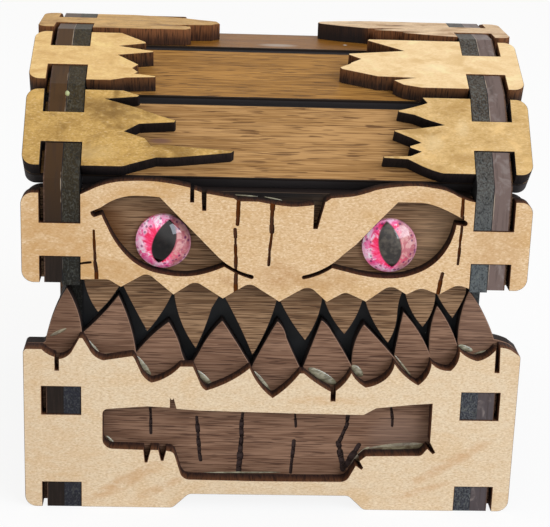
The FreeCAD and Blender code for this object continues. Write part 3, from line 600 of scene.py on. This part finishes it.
def pool(name, body, x, z, half_length, half_breadth, lean, pale_shine):
    """A ball pressed flat and long, which lies half sunk in the walnut."""
    bpy.ops.object.select_all(action="DESELECT")
    bpy.ops.mesh.primitive_uv_sphere_add(segments=24, ring_count=12, radius=1.0)
    drop = bpy.context.object
    drop.name = name
    spot = Vector((x, LAYER_Y, z)) * MM
    bpy.ops.object.mode_set(mode="EDIT")
    bpy.ops.mesh.select_all(action="SELECT")
    bpy.ops.transform.resize(value=(half_length * MM, POOL_HEIGHT * MM, half_breadth * MM))
    bpy.ops.transform.rotate(value=math.radians(lean), orient_axis="Y", center_override=(0, 0, 0))
    bpy.ops.transform.translate(value=spot)
    bpy.ops.object.mode_set(mode="OBJECT")
    bpy.ops.object.shade_smooth()
    dress(drop, varnish(f"finish_{name}", pale_shine))
    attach(drop, body)


for index, row in enumerate(POOLS):
    pool(f"varnish_and_shine_pool_{index + 1:02d}", "base", *row)
for index, row in enumerate(BROW_POOLS):
    pool(f"varnish_and_shine_smear_{index + 1:02d}", "lid", *row)


# ------------------------------------------------------------------ ends of the chest
# Each end is two boards glued together: a charcoal one inside and a brown stained one outside.
# Their tabs come through the slots of the panels and of the broken boards on the lid; glue shows
# as a pale line between the two.

# distances from the middle of the chest: the seam, and the broad faces of the two boards
SEAM_X = 38.75
LINING_INNER = 35.52
LINING_OUTER = 38.6
SHELL_OUTER = 41.7
GLUE_LINE = (176, 160, 138)


def glue_seam(finish, seed, face, strength):
    """The pale worn line of glue between the two boards of an end, above the box's slots."""
    wander = finish.cloud((2.2, 2.2, 2.2), (seed, 0.0, 0.0), detail=2.0)
    worn = finish.cloud((9.0, 4.5, 4.5), (0.0, seed, 0.0), detail=2.0)
    away = (finish.spot.part(0).size() - SEAM_X).size()
    worn = worn.ramp(0.46, 0.56) * wander.ramp(0.25, 0.6)
    high = finish.spot.part(2).ramp(30.0, 36.0)
    line = away.ramp(0.22, 0.06) * away.ramp(0.02, 0.04) * worn * high
    return finish.blend(line * strength, face, GLUE_LINE)


# the tone low down and high up, darker on the left as painted shade and paler and greyer on the
# right as a painted sheen of the window; the grain that shows through, the painted sheen that lies
# on it, and the broad outside
BROWN_LEFT_SHADED = ((30, 22, 17), (78, 54, 30))
BROWN_RIGHT_SHEEN = ((80, 72, 73), (112, 95, 89))
BROWN_GRAIN = (50, 38, 32)
BROWN_SHEEN = (146, 134, 128)
SHELL_WOOD = ((66, 47, 37), (96, 71, 56))


def brown_end():
    """Darker towards the bottom; darker on the left as painted shade, and paler, greyer and mottled
    on the right as a painted sheen of the window.
    """
    finish = Finish("brown_ends", 0.45, Specular_IOR_Level=0.13)
    grain = finish.cloud((0.6, 7.0, 7.0), detail=3.0)
    sheen_patches = finish.cloud((2.0, 2.4, 2.4), (4.0, 2.0, 9.0), detail=4.0, warp=0.6)
    side = finish.spot.part(0).ramp(-30.0, 30.0)
    height = finish.spot.part(2)
    # painted shade on the left and a painted sheen of the window on the right
    left = finish.blend(height.ramp(44.0, 80.0), *BROWN_LEFT_SHADED)
    right = finish.blend(height.ramp(20.0, 40.0), *BROWN_RIGHT_SHEEN)
    face = finish.blend(side, left, right)
    face = finish.blend(grain.ramp(0.45, 0.7) * 0.4, face, BROWN_GRAIN)
    # painted sheen: pale grey patches, only towards the right
    face = finish.blend(sheen_patches.ramp(0.52, 0.70) * side * 0.5, face, BROWN_SHEEN)
    broad = (finish.spot.part(0).size() - SHELL_OUTER).ramp(0.0, 0.04)
    board = finish.cloud((3.0, 22.0, 0.5), detail=3.0)
    shade = finish.cloud((9.0, 26.0, 5.0), detail=3.0, warp=0.4)
    wood = finish.blend((board * 0.7 + shade * 0.3).ramp(0.40, 0.62), *SHELL_WOOD)
    face = finish.blend(broad, glue_seam(finish, 3.0, face, 0.9), wood)
    finish.set("Base Color", face)
    finish.relief(grain, 0.03, 0.5)
    return finish


# tones from the foot of the chest up, on the left, darker as painted shade, and on the right,
# paler as a painted sheen of the window
CHARCOAL_LEFT_SHADED = ((38, 38, 46), (28, 26, 20), (60, 49, 28))
CHARCOAL_RIGHT_SHEEN = ((60, 61, 68), (86, 91, 93), (76, 66, 55))
PALE_HIDE = (112, 114, 106)
DARK_HIDE = (34, 35, 34)
PALE_SPECK = (98, 102, 100)
DARK_SPECK = (26, 27, 27)
CHARCOAL_LUMP = (34, 34, 33)
LINING_FACE = (26, 27, 30)


def charcoal_end():
    """Rough and speckled on the edges and tabs, plain on the broad faces; paler on the right, with
    more pale specks there, as a painted sheen of the window.
    """
    finish = Finish("charcoal_ends", 0.5, Specular_IOR_Level=0.12)
    speck = finish.cloud((0.32, 0.42, 0.42), detail=1.5)
    hide = finish.cloud((1.1, 1.5, 1.5), detail=3.0, warp=2.2)
    lump = finish.cloud((2.5, 2.5, 2.5), detail=3.0)
    side = finish.spot.part(0).ramp(-30.0, 30.0)
    height = finish.spot.part(2)
    tones = []
    # painted shade on the left and a painted sheen of the window on the right
    for foot, middle, top in (CHARCOAL_LEFT_SHADED, CHARCOAL_RIGHT_SHEEN):
        low = finish.blend(height.ramp(26.0, 42.0), foot, middle)
        tones.append(finish.blend(height.ramp(44.0, 80.0), low, top))
    face = finish.blend(side, *tones)
    # more pale hide and pale specks towards the right: part of the painted sheen
    face = finish.blend(hide.ramp(0.52, 0.68) * (0.22 + side * 0.25), face, PALE_HIDE)
    face = finish.blend(hide.ramp(0.48, 0.34) * 0.6, face, DARK_HIDE)
    face = finish.blend(speck.ramp(0.5, 0.64) * (0.16 + side * 0.44), face, PALE_SPECK)
    face = finish.blend(speck.ramp(0.46, 0.34) * (0.35 + side * 0.25), face, DARK_SPECK)
    face = finish.blend(lump.ramp(0.5, 0.7) * 0.3, face, CHARCOAL_LUMP)
    across = finish.spot.part(0).size()
    broad = (across - LINING_INNER).ramp(0.06, 0.02).most((across - LINING_OUTER).ramp(0.0, 0.03))
    face = finish.blend(broad, glue_seam(finish, 5.0, face, 0.9), LINING_FACE)
    finish.set("Base Color", face)
    finish.relief(hide + speck * 0.4, 0.10, 0.6)
    return finish


brown = brown_end()
charcoal = charcoal_end()
for side in ("left", "right"):
    for body in ("base", "lid"):
        wear(f"{body}_end_shell_{side}", brown)
        wear(f"{body}_end_lining_{side}", charcoal)


# ------------------------------------------------------------------ black boards
# Two thin boards line the front and the back of the box and are painted flat black, so the
# open mouth looks deep. Dust has settled on the paint.

BLACKS = ((12, 14, 18), (20, 23, 27))
DUST = (120, 124, 122)


def black_paint():
    """Flat black with faint brush strokes and specks of dust."""
    finish = Finish("black_paint", 0.6, Specular_IOR_Level=0.4)
    brush = finish.cloud((8.0, 0.7, 3.0), detail=3.0)
    dusty = finish.cloud((5.0, 5.0, 5.0)).ramp(0.45, 0.6)
    dust = finish.specks(1.7, (0.3, 0.1, 0.7), 0.16) * dusty
    face = finish.blend(brush.ramp(0.3, 0.7), *BLACKS)
    finish.set("Base Color", finish.blend(dust * 0.6, face, DUST))
    finish.relief(brush, 0.03)
    return finish


paint = black_paint()
wear("mouth_board", paint)
wear("back_board", paint)


# ------------------------------------------------------------------ floor of the box
# A walnut-faced plywood board that lies in the well. Two tabs in each end hold it, and their
# sooty edges show in the sides of the box.

UP = (0.0, 0.0, 1.0)

wear("floor_board", walnut("walnut_floor", "floor_board", UP, 7, HIDDEN_TONES, SOOT))


# ------------------------------------------------------------------ hinge dowels
# Two birch dowels of 3 mm, one in each end, on which the lid turns. Their sawn ends show at the
# sides.

BIRCH = ((196, 160, 110), (160, 118, 74))


def birch_dowel():
    """Pale wood with faint darker flecks."""
    finish = Finish("birch_dowel", 0.55)
    ring = finish.cloud((0.5, 0.5, 0.5), detail=2.0)
    finish.set("Base Color", finish.blend(ring.ramp(0.3, 0.7), *BIRCH))
    finish.relief(ring, 0.03)
    return finish


dowel = birch_dowel()
wear("hinge_pin_left", dowel)
wear("hinge_pin_right", dowel)


# ------------------------------------------------------------------ planks of the lid
# Five walnut-faced planks bridge the lid from end to end, each turned 22.5 degrees from the one
# before. They are darkened in a narrow hem along their long edges, and they stop just short of each
# other.

TURN = math.radians(22.5)
ROWS = {"front_low": 2, "front_high": 1, "top": 0, "rear_high": -1, "rear_low": -2}
PLANK_SEED = 11
PLANK_LINE = 0.26
PLANK_HEM = 0.25
PLANK_EDGE = (60, 56, 56)
PLANK_TONES = {
    "front_low": ((190, 146, 94), (152, 111, 64), (90, 58, 32)),
    "front_high": ((184, 134, 70), (144, 101, 49), (86, 56, 30)),
    "top": ((153, 102, 36), (119, 75, 20), (78, 48, 20)),
    "rear_high": ((172, 131, 84), (140, 103, 62), (92, 62, 38)),
    "rear_low": ((178, 137, 88), (146, 108, 66), (96, 66, 40)),
}
PLANK_STAINS_AND_SHEEN = {
    "front_low": (((-21.5, -31.5, 69.2), (2.6, 0.0, 0.0), (0.0, 0.5, 0.5), 0.8, (132, 96, 82)),),
    # painted sheen: two pale patches on the top plank
    "top": (((0.6, -4.6, 82.5), (4.6, 0.4, 0.0), (0.0, 2.0, 0.0), 0.5, (196, 188, 178)),
            ((14.0, -2.4, 82.5), (0.5, 0.0, 0.0), (0.0, 0.5, 0.0), 1.0, (228, 222, 214))),
}


def row_faces(turns):
    """The way a row of the lid faces, so many turns forward from straight up."""
    return (0.0, -math.sin(turns * TURN), math.cos(turns * TURN))


for index, (row, turns) in enumerate(ROWS.items()):
    plank = f"plank_{row}"
    wear(plank, walnut(f"walnut_{plank}", plank, row_faces(turns), PLANK_SEED + index,
                       PLANK_TONES[row], PLANK_EDGE, PLANK_STAINS_AND_SHEEN.get(row, ()), PLANK_LINE,
                       bold=0.6, worn=0.3, hem=PLANK_HEM))


# ------------------------------------------------------------------ broken boards of the lid
# A maple-faced board is glued over either end of each plank and cut to look split and broken
# off. The tabs of the ends pass through its slots. Smoke of the laser has clouded the maple.

OVERLAY_SEED = 21
# each board has its own tones; in the front and top rows the left-hand boards are darker than the
# right-hand ones, painted shade as the light falls from the right
OVERLAY_TONES_AND_SHADE = {
    "front_low_left": ((206, 166, 96), (177, 138, 74), (126, 92, 42)),
    "front_low_right": ((219, 182, 123), (196, 158, 97), (166, 128, 71)),
    "front_high_left": ((242, 204, 138), (226, 184, 120), (206, 162, 98)),
    "front_high_right": ((250, 218, 166), (238, 202, 148), (222, 184, 126)),
    "top_left": ((212, 168, 101), (190, 146, 83), (152, 107, 52)),
    "top_right": ((236, 205, 166), (218, 183, 141), (168, 124, 80)),
    "rear_high_left": ((226, 194, 146), (212, 174, 124), (186, 146, 98)),
    "rear_high_right": ((230, 198, 150), (216, 180, 130), (190, 150, 102)),
    "rear_low_left": ((220, 186, 134), (204, 166, 112), (176, 136, 86)),
    "rear_low_right": ((222, 188, 138), (206, 168, 116), (178, 138, 88)),
}
OVERLAY_EDGES = {
    "front_low": ((28, 23, 24), (40, 30, 27)),
    "front_high": ((50, 36, 29), (112, 72, 42)),
    "top": ((58, 34, 20), (122, 76, 44)),
    "rear_high": ((48, 32, 26), (104, 68, 42)),
    "rear_low": ((34, 26, 23), (64, 44, 32)),
}
OVERLAY_STAINS_AND_SHEEN = {
    "front_low_left": (
        ((-31.0, -30.4, 74.8), (6.5, 0.0, 0.0), (0.0, 2.2, 2.2), 0.75, (122, 90, 46)),
        ((-25.5, -31.6, 73.6), (4.0, 0.0, 0.0), (0.0, 0.6, 0.6), 0.6, (130, 98, 54)),
        ((-33.0, -37.0, 68.2), (5.0, 0.0, 0.0), (0.0, 1.5, 1.5), 0.5, (216, 182, 122)),
    ),
    "front_low_right": (
        # painted sheen: the two pale patches
        ((28.0, -34.5, 70.7), (2.6, 0.0, 0.0), (0.0, 1.6, 1.6), 0.3, (246, 220, 172)),
        ((33.6, -32.3, 72.9), (1.6, 0.0, 0.0), (0.0, 1.8, 1.8), 0.3, (246, 220, 172)),
        ((31.9, -28.8, 76.4), (3.6, 0.0, 0.0), (0.0, 1.1, 1.1), 0.45, (176, 136, 78)),
        ((33.3, -36.7, 68.6), (3.6, 0.0, 0.0), (0.0, 0.9, 0.9), 0.45, (170, 130, 74)),
    ),
    "top_right": (
        ((24.2, 3.3, 85.7), (3.6, 0.5, 0.0), (0.0, 0.45, 0.0), 1.3, (58, 36, 24)),
        ((20.0, -1.6, 85.7), (4.5, -0.9, 0.0), (0.1, 0.4, 0.0), 1.0, (92, 62, 42)),
        ((15.0, 5.0, 85.7), (5.0, 0.0, 0.0), (0.0, 0.35, 0.0), 1.0, (100, 72, 52)),
    ),
    "top_left": (
        ((-21.4, -3.3, 85.7), (4.0, 0.6, 0.0), (0.0, 0.45, 0.0), 1.2, (62, 40, 26)),
        ((-26.0, 1.0, 85.7), (4.5, 0.0, 0.0), (0.0, 0.3, 0.0), 0.9, (110, 78, 50)),
    ),
    "front_high_right": (
        # painted sheen: a pale patch
        ((29.3, -19.3, 81.6), (3.2, 0.0, 0.0), (0.0, 1.8, 0.8), 0.35, (255, 234, 190)),
    ),
}
OVERLAY_SOOTS = {
    "top_right": (((11.0, 0.0, 84.0), (8.5, 0.0, 0.0), (0.0, 30.0, 0.0)),),
}

for index, (row, turns) in enumerate(ROWS.items()):
    for number, side in enumerate(("left", "right")):
        end = f"{row}_{side}"
        board = f"overlay_{end}"
        stand_in(finer_board(board), board, "lid",
                 maple(f"maple_{board}", board, row_faces(turns), OVERLAY_SEED + 2 * index + number,
                       OVERLAY_TONES_AND_SHADE[end], OVERLAY_EDGES[row], OVERLAY_STAINS_AND_SHEEN.get(end, ()),
                       smoky=0.7, soots=OVERLAY_SOOTS.get(end, ())))


# ------------------------------------------------------------------ eyes
# Two clear glass cabochons glued over a printed iris: hot pink beside a dark slit pupil, breaking
# up outwards into pale curls and small purple dots, and dusty pink on the right-hand side.

EYE_RADIUS = 5.0
EYES = {
    # pupil: middle across and up, half its height, how far its top leans right, all in radii;
    # its two dark tones, and how much more of the shine the pupil loses where painted shade thins
    # the coat
    "left": ((0.035, 0.055), 0.80, 0.24, ((3, 0, 0), (24, 18, 16)), 0.3),
    "right": ((-0.02, 0.10), 0.83, -0.16, ((40, 34, 31), (84, 76, 66)), 0.05),
}
PUPIL_BREADTH = 0.405
HOT_PINKS = ((238, 18, 84), (255, 72, 130))
PETALS = ((255, 116, 176), (255, 200, 226))
PALE_CURL = (255, 242, 248)
DEEP_CURL = (238, 66, 132)
DUSTY_PINKS = ((180, 104, 108), (208, 153, 149))
DUSTY_THREAD = (170, 86, 98)
ROSE = (216, 70, 102)
PURPLE_DOT = (104, 38, 88)
RIM = (236, 178, 204)
PUPIL_EDGE = (120, 16, 44)


def glass_eye(side):
    """The print is the colour, and the glass over it is the coat of the same finish."""
    (off_x, off_z), tall, lean, blacks, deep = EYES[side]
    # the faint emission is a painted glow on the print
    finish = Finish(f"glass_eye_{side}", 0.3, Specular_IOR_Level=0.0,
                    Coat_Roughness=0.03, Coat_IOR=1.6, Emission_Strength=0.14)
    low, high = (Vector(corner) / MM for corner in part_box(f"eye_{side}"))
    middle = (low + high) / 2
    x = (finish.spot.part(0) - middle.x) / EYE_RADIUS
    z = (finish.spot.part(2) - middle.z) / EYE_RADIUS
    radius = (x * x + z * z) ** 0.5
    # threads of the iris run outwards: noise on the direction, stretched along the radius
    ray = (x / (radius + 0.01) * 3.4, radius * 1.7, z / (radius + 0.01) * 3.4)
    direction = finish.node("ShaderNodeCombineXYZ", {}, ray)
    noise = {"Vector": direction, "Scale": 1.6, "Detail": 3.0, "Roughness": 0.6}
    thread = finish.node("ShaderNodeTexNoise", {}, noise)
    curl = finish.cloud((1.5, 1.5, 1.5), (1.0, 0.0, 4.0), detail=2.5, warp=1.4)
    dab = finish.cloud((2.2, 2.2, 2.2), (7.0, 3.0, 1.0), detail=3.0)
    outer = (radius + (thread - 0.5) * 0.7).ramp(0.60, 0.78)
    hot = finish.blend(thread.ramp(0.40, 0.60), *HOT_PINKS)
    petal = finish.blend(dab.ramp(0.40, 0.60), *PETALS)
    petal = finish.blend(curl.ramp(0.55, 0.63) * 0.9, petal, PALE_CURL)
    petal = finish.blend(curl.ramp(0.44, 0.37) * 0.7, petal, DEEP_CURL)
    pink = finish.blend(outer * dab.ramp(0.30, 0.42), hot, petal)
    dusty = finish.blend(curl.ramp(0.42, 0.60), *DUSTY_PINKS)
    dusty = finish.blend(thread.ramp(0.54, 0.66) * 0.5, dusty, DUSTY_THREAD)
    rose = z.ramp(-0.10, -0.50) * thread.ramp(0.42, 0.56) * radius.ramp(0.88, 0.70)
    dusty = finish.blend(rose * 0.8, dusty, ROSE)
    right = (x + (thread - 0.5) * 0.4).ramp(0.14, 0.42)
    iris = finish.blend(right * 0.95, pink, dusty)
    dots = finish.specks(0.95, (0.2, 0.0, 0.9), 0.35) * radius.ramp(0.64, 0.78)
    iris = finish.blend(dots * 0.9, iris, PURPLE_DOT)
    iris = finish.blend(radius.ramp(0.90, 0.99) * 0.35, iris, RIM)
    # two arcs that meet above and below the pupil's middle
    across = (x - off_x - (z - off_z) * lean).size() / PUPIL_BREADTH
    up = ((z - off_z) / tall).size()
    slit = across ** 1.25 + up ** 2.1
    iris = finish.blend(slit.ramp(1.16, 1.04) * 0.6, iris, PUPIL_EDGE)
    # painted reflection: the pupil is lighter towards the top
    murk_and_reflection = finish.cloud((1.1, 1.1, 1.1), (3.0, 5.0, 2.0), detail=4.0) + z * 0.12
    black = finish.blend(murk_and_reflection.ramp(0.40, 0.70), *blacks)
    pupil = slit.ramp(1.06, 0.96)
    finish.set("Base Color", finish.blend(pupil, iris, black))
    # painted shade on the glass: the coat is thinned towards the lower left, so it shines less
    # there
    painted_dim = (x * 0.6 + z).ramp(0.50, 0.05)
    finish.set("Coat Weight", 1 - painted_dim * (0.35 + pupil * deep))
    # painted glow: the pink side of the print gives off a little light, standing in for light that
    # the glass gathers
    finish.set("Emission Color", finish.blend(pupil.most(right), pink, (0, 0, 0)))
    return finish


for side in EYES:
    wear(f"eye_{side}", glass_eye(side))


# ------------------------------------------------------------------ bead of glue on a tab
# One drop of glue was squeezed out beside the seam of a tab, where two planks meet, and has set
# pale green.

GLUE_SPOT = (-38.45, -30.1, 77.3)
GLUE_SIZE = (0.42, 0.5, 0.5)
GLUE_GREEN = (172, 178, 128)

bpy.ops.object.select_all(action="DESELECT")
bpy.ops.mesh.primitive_uv_sphere_add(segments=20, ring_count=10, radius=1.0)
bead = bpy.context.object
bead.name = "glue_bead"
bpy.ops.object.mode_set(mode="EDIT")
bpy.ops.mesh.select_all(action="SELECT")
bpy.ops.transform.resize(value=Vector(GLUE_SIZE) * MM)
bpy.ops.transform.translate(value=Vector(GLUE_SPOT) * MM)
bpy.ops.object.mode_set(mode="OBJECT")
bpy.ops.object.shade_smooth()
glue = Finish("set_glue", 0.3)
glue.set("Base Color", glue.tint(GLUE_GREEN))
dress(bead, glue)
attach(bead, "lid")


# ------------------------------------------------------------------ table
# The chest stands free on a plain white table, which keeps its shadow. It is no part of the
# chest.

TABLE_SIZE = 8.0  # in metres, like the lamp's sizes
TABLE_WHITE = (0.92, 0.92, 0.92, 1.0)
TABLE_GLOW = 0.88
WHITE = (1.0, 1.0, 1.0, 1.0)


def seen_white(finish):
    """1 for rays that come straight from the camera, off a gloss or through glass."""
    straight = finish.node("ShaderNodeLightPath", {}, (), "Is Camera Ray")
    glossy = finish.node("ShaderNodeLightPath", {}, (), "Is Glossy Ray")
    through = finish.node("ShaderNodeLightPath", {}, (), "Is Transmission Ray")
    return straight.most(glossy).most(through)


def stage_floor():
    """A flat sheet that looks white, and lights the chest only as a white table would."""
    bpy.ops.object.select_all(action="DESELECT")
    bpy.ops.mesh.primitive_plane_add(size=TABLE_SIZE, location=(0.0, 0.0, 0.0))
    floor = bpy.context.object
    floor.name = "table_top"
    finish = Finish("table_white", 0.9)
    finish.set("Base Color", TABLE_WHITE)
    glow = finish.node("ShaderNodeEmission", {}, {"Color": WHITE, "Strength": 1.0})
    shader = Socket(finish, finish.shader.outputs[0])
    mixed = finish.node("ShaderNodeMixShader", {}, (seen_white(finish) * TABLE_GLOW, shader, glow))
    finish.wire(finish.tree.nodes["Material Output"].inputs["Surface"], mixed)
    floor.data.materials.append(finish.material)


stage_floor()


# ------------------------------------------------------------------ light and camera
# Soft light from all round and one broad window in front on the right. The camera looks down a
# little from the front, just left of the middle.

SKY_LEVEL = 0.62
SKY_TINT = (1.03, 1.0, 0.95, 1.0)


class Sky(Finish):
    """The nodes of the world, made in the same way as those of a finish."""

    def __init__(self, world):
        world.use_nodes = True
        self.tree = world.node_tree


def soft_world():
    """Soft warm light on the chest, with white behind it and in what it reflects."""
    world = bpy.data.worlds.new("studio")
    bpy.context.scene.world = world
    sky = Sky(world)
    soft = sky.node("ShaderNodeBackground", {}, {"Color": SKY_TINT, "Strength": SKY_LEVEL})
    white = sky.node("ShaderNodeBackground", {}, {"Color": WHITE, "Strength": 1.0})
    mixed = sky.node("ShaderNodeMixShader", {}, (seen_white(sky), soft, white))
    sky.wire(sky.tree.nodes["World Output"].inputs["Surface"], mixed)


def lamp(name, direction, distance, target, width, height, radiance, colour):
    """A square-on area lamp; its power follows from how bright its surface is."""
    light = bpy.data.lights.new(name, "AREA")
    light.shape = "RECTANGLE"
    light.size = width
    light.size_y = height
    light.energy = radiance * width * height * math.pi
    light.color = colour
    holder = bpy.data.objects.new(name, light)
    bpy.context.scene.collection.objects.link(holder)
    direction = Vector(direction).normalized()
    aim = (-direction).to_track_quat("-Z", "Y")
    place = Vector(target) + direction * distance
    holder.matrix_world = Matrix.Translation(place) @ aim.to_matrix().to_4x4()


# degrees to the right, downwards and of roll; the place, and how far in front of the face;
# the focal length in pixels, for a view of this width
CAMERA_TURN = (2.8748, 17.9033, 1.9851)
CAMERA_X = -14.001
CAMERA_AWAY = 272.622
CAMERA_Z = 137.373
FOCAL_LENGTH = 1583.63
VIEW_WIDTH = 550


def camera():
    """Stands the camera at its place and makes it the scene's own."""
    yaw, pitch, roll = (math.radians(angle) for angle in CAMERA_TURN)
    place = Vector((CAMERA_X, FACE_Y - CAMERA_AWAY, CAMERA_Z)) * MM
    forward = Vector((math.sin(yaw) * math.cos(pitch), math.cos(yaw) * math.cos(pitch),
                      -math.sin(pitch)))
    right = Vector((math.cos(yaw), -math.sin(yaw), 0.0))
    up = right.cross(forward)
    right, up = (right * math.cos(roll) + up * math.sin(roll),
                 up * math.cos(roll) - right * math.sin(roll))
    view = bpy.data.cameras.new("camera")
    view.lens = FOCAL_LENGTH / VIEW_WIDTH * view.sensor_width
    view.clip_start = 0.01
    holder = bpy.data.objects.new("camera", view)
    turn = Matrix((right, up, -forward)).transposed()
    holder.matrix_world = Matrix.Translation(place) @ turn.to_4x4()
    bpy.context.scene.collection.objects.link(holder)
    bpy.context.scene.camera = holder


soft_world()
lamp("window", direction=(0.66, -0.56, 0.50), distance=1.0, target=(0.0, -0.04, 0.05),
     width=0.8, height=0.56, radiance=4.7, colour=(0.92, 1.0, 1.14))
camera()
bpy.context.scene.view_settings.view_transform = "Standard"
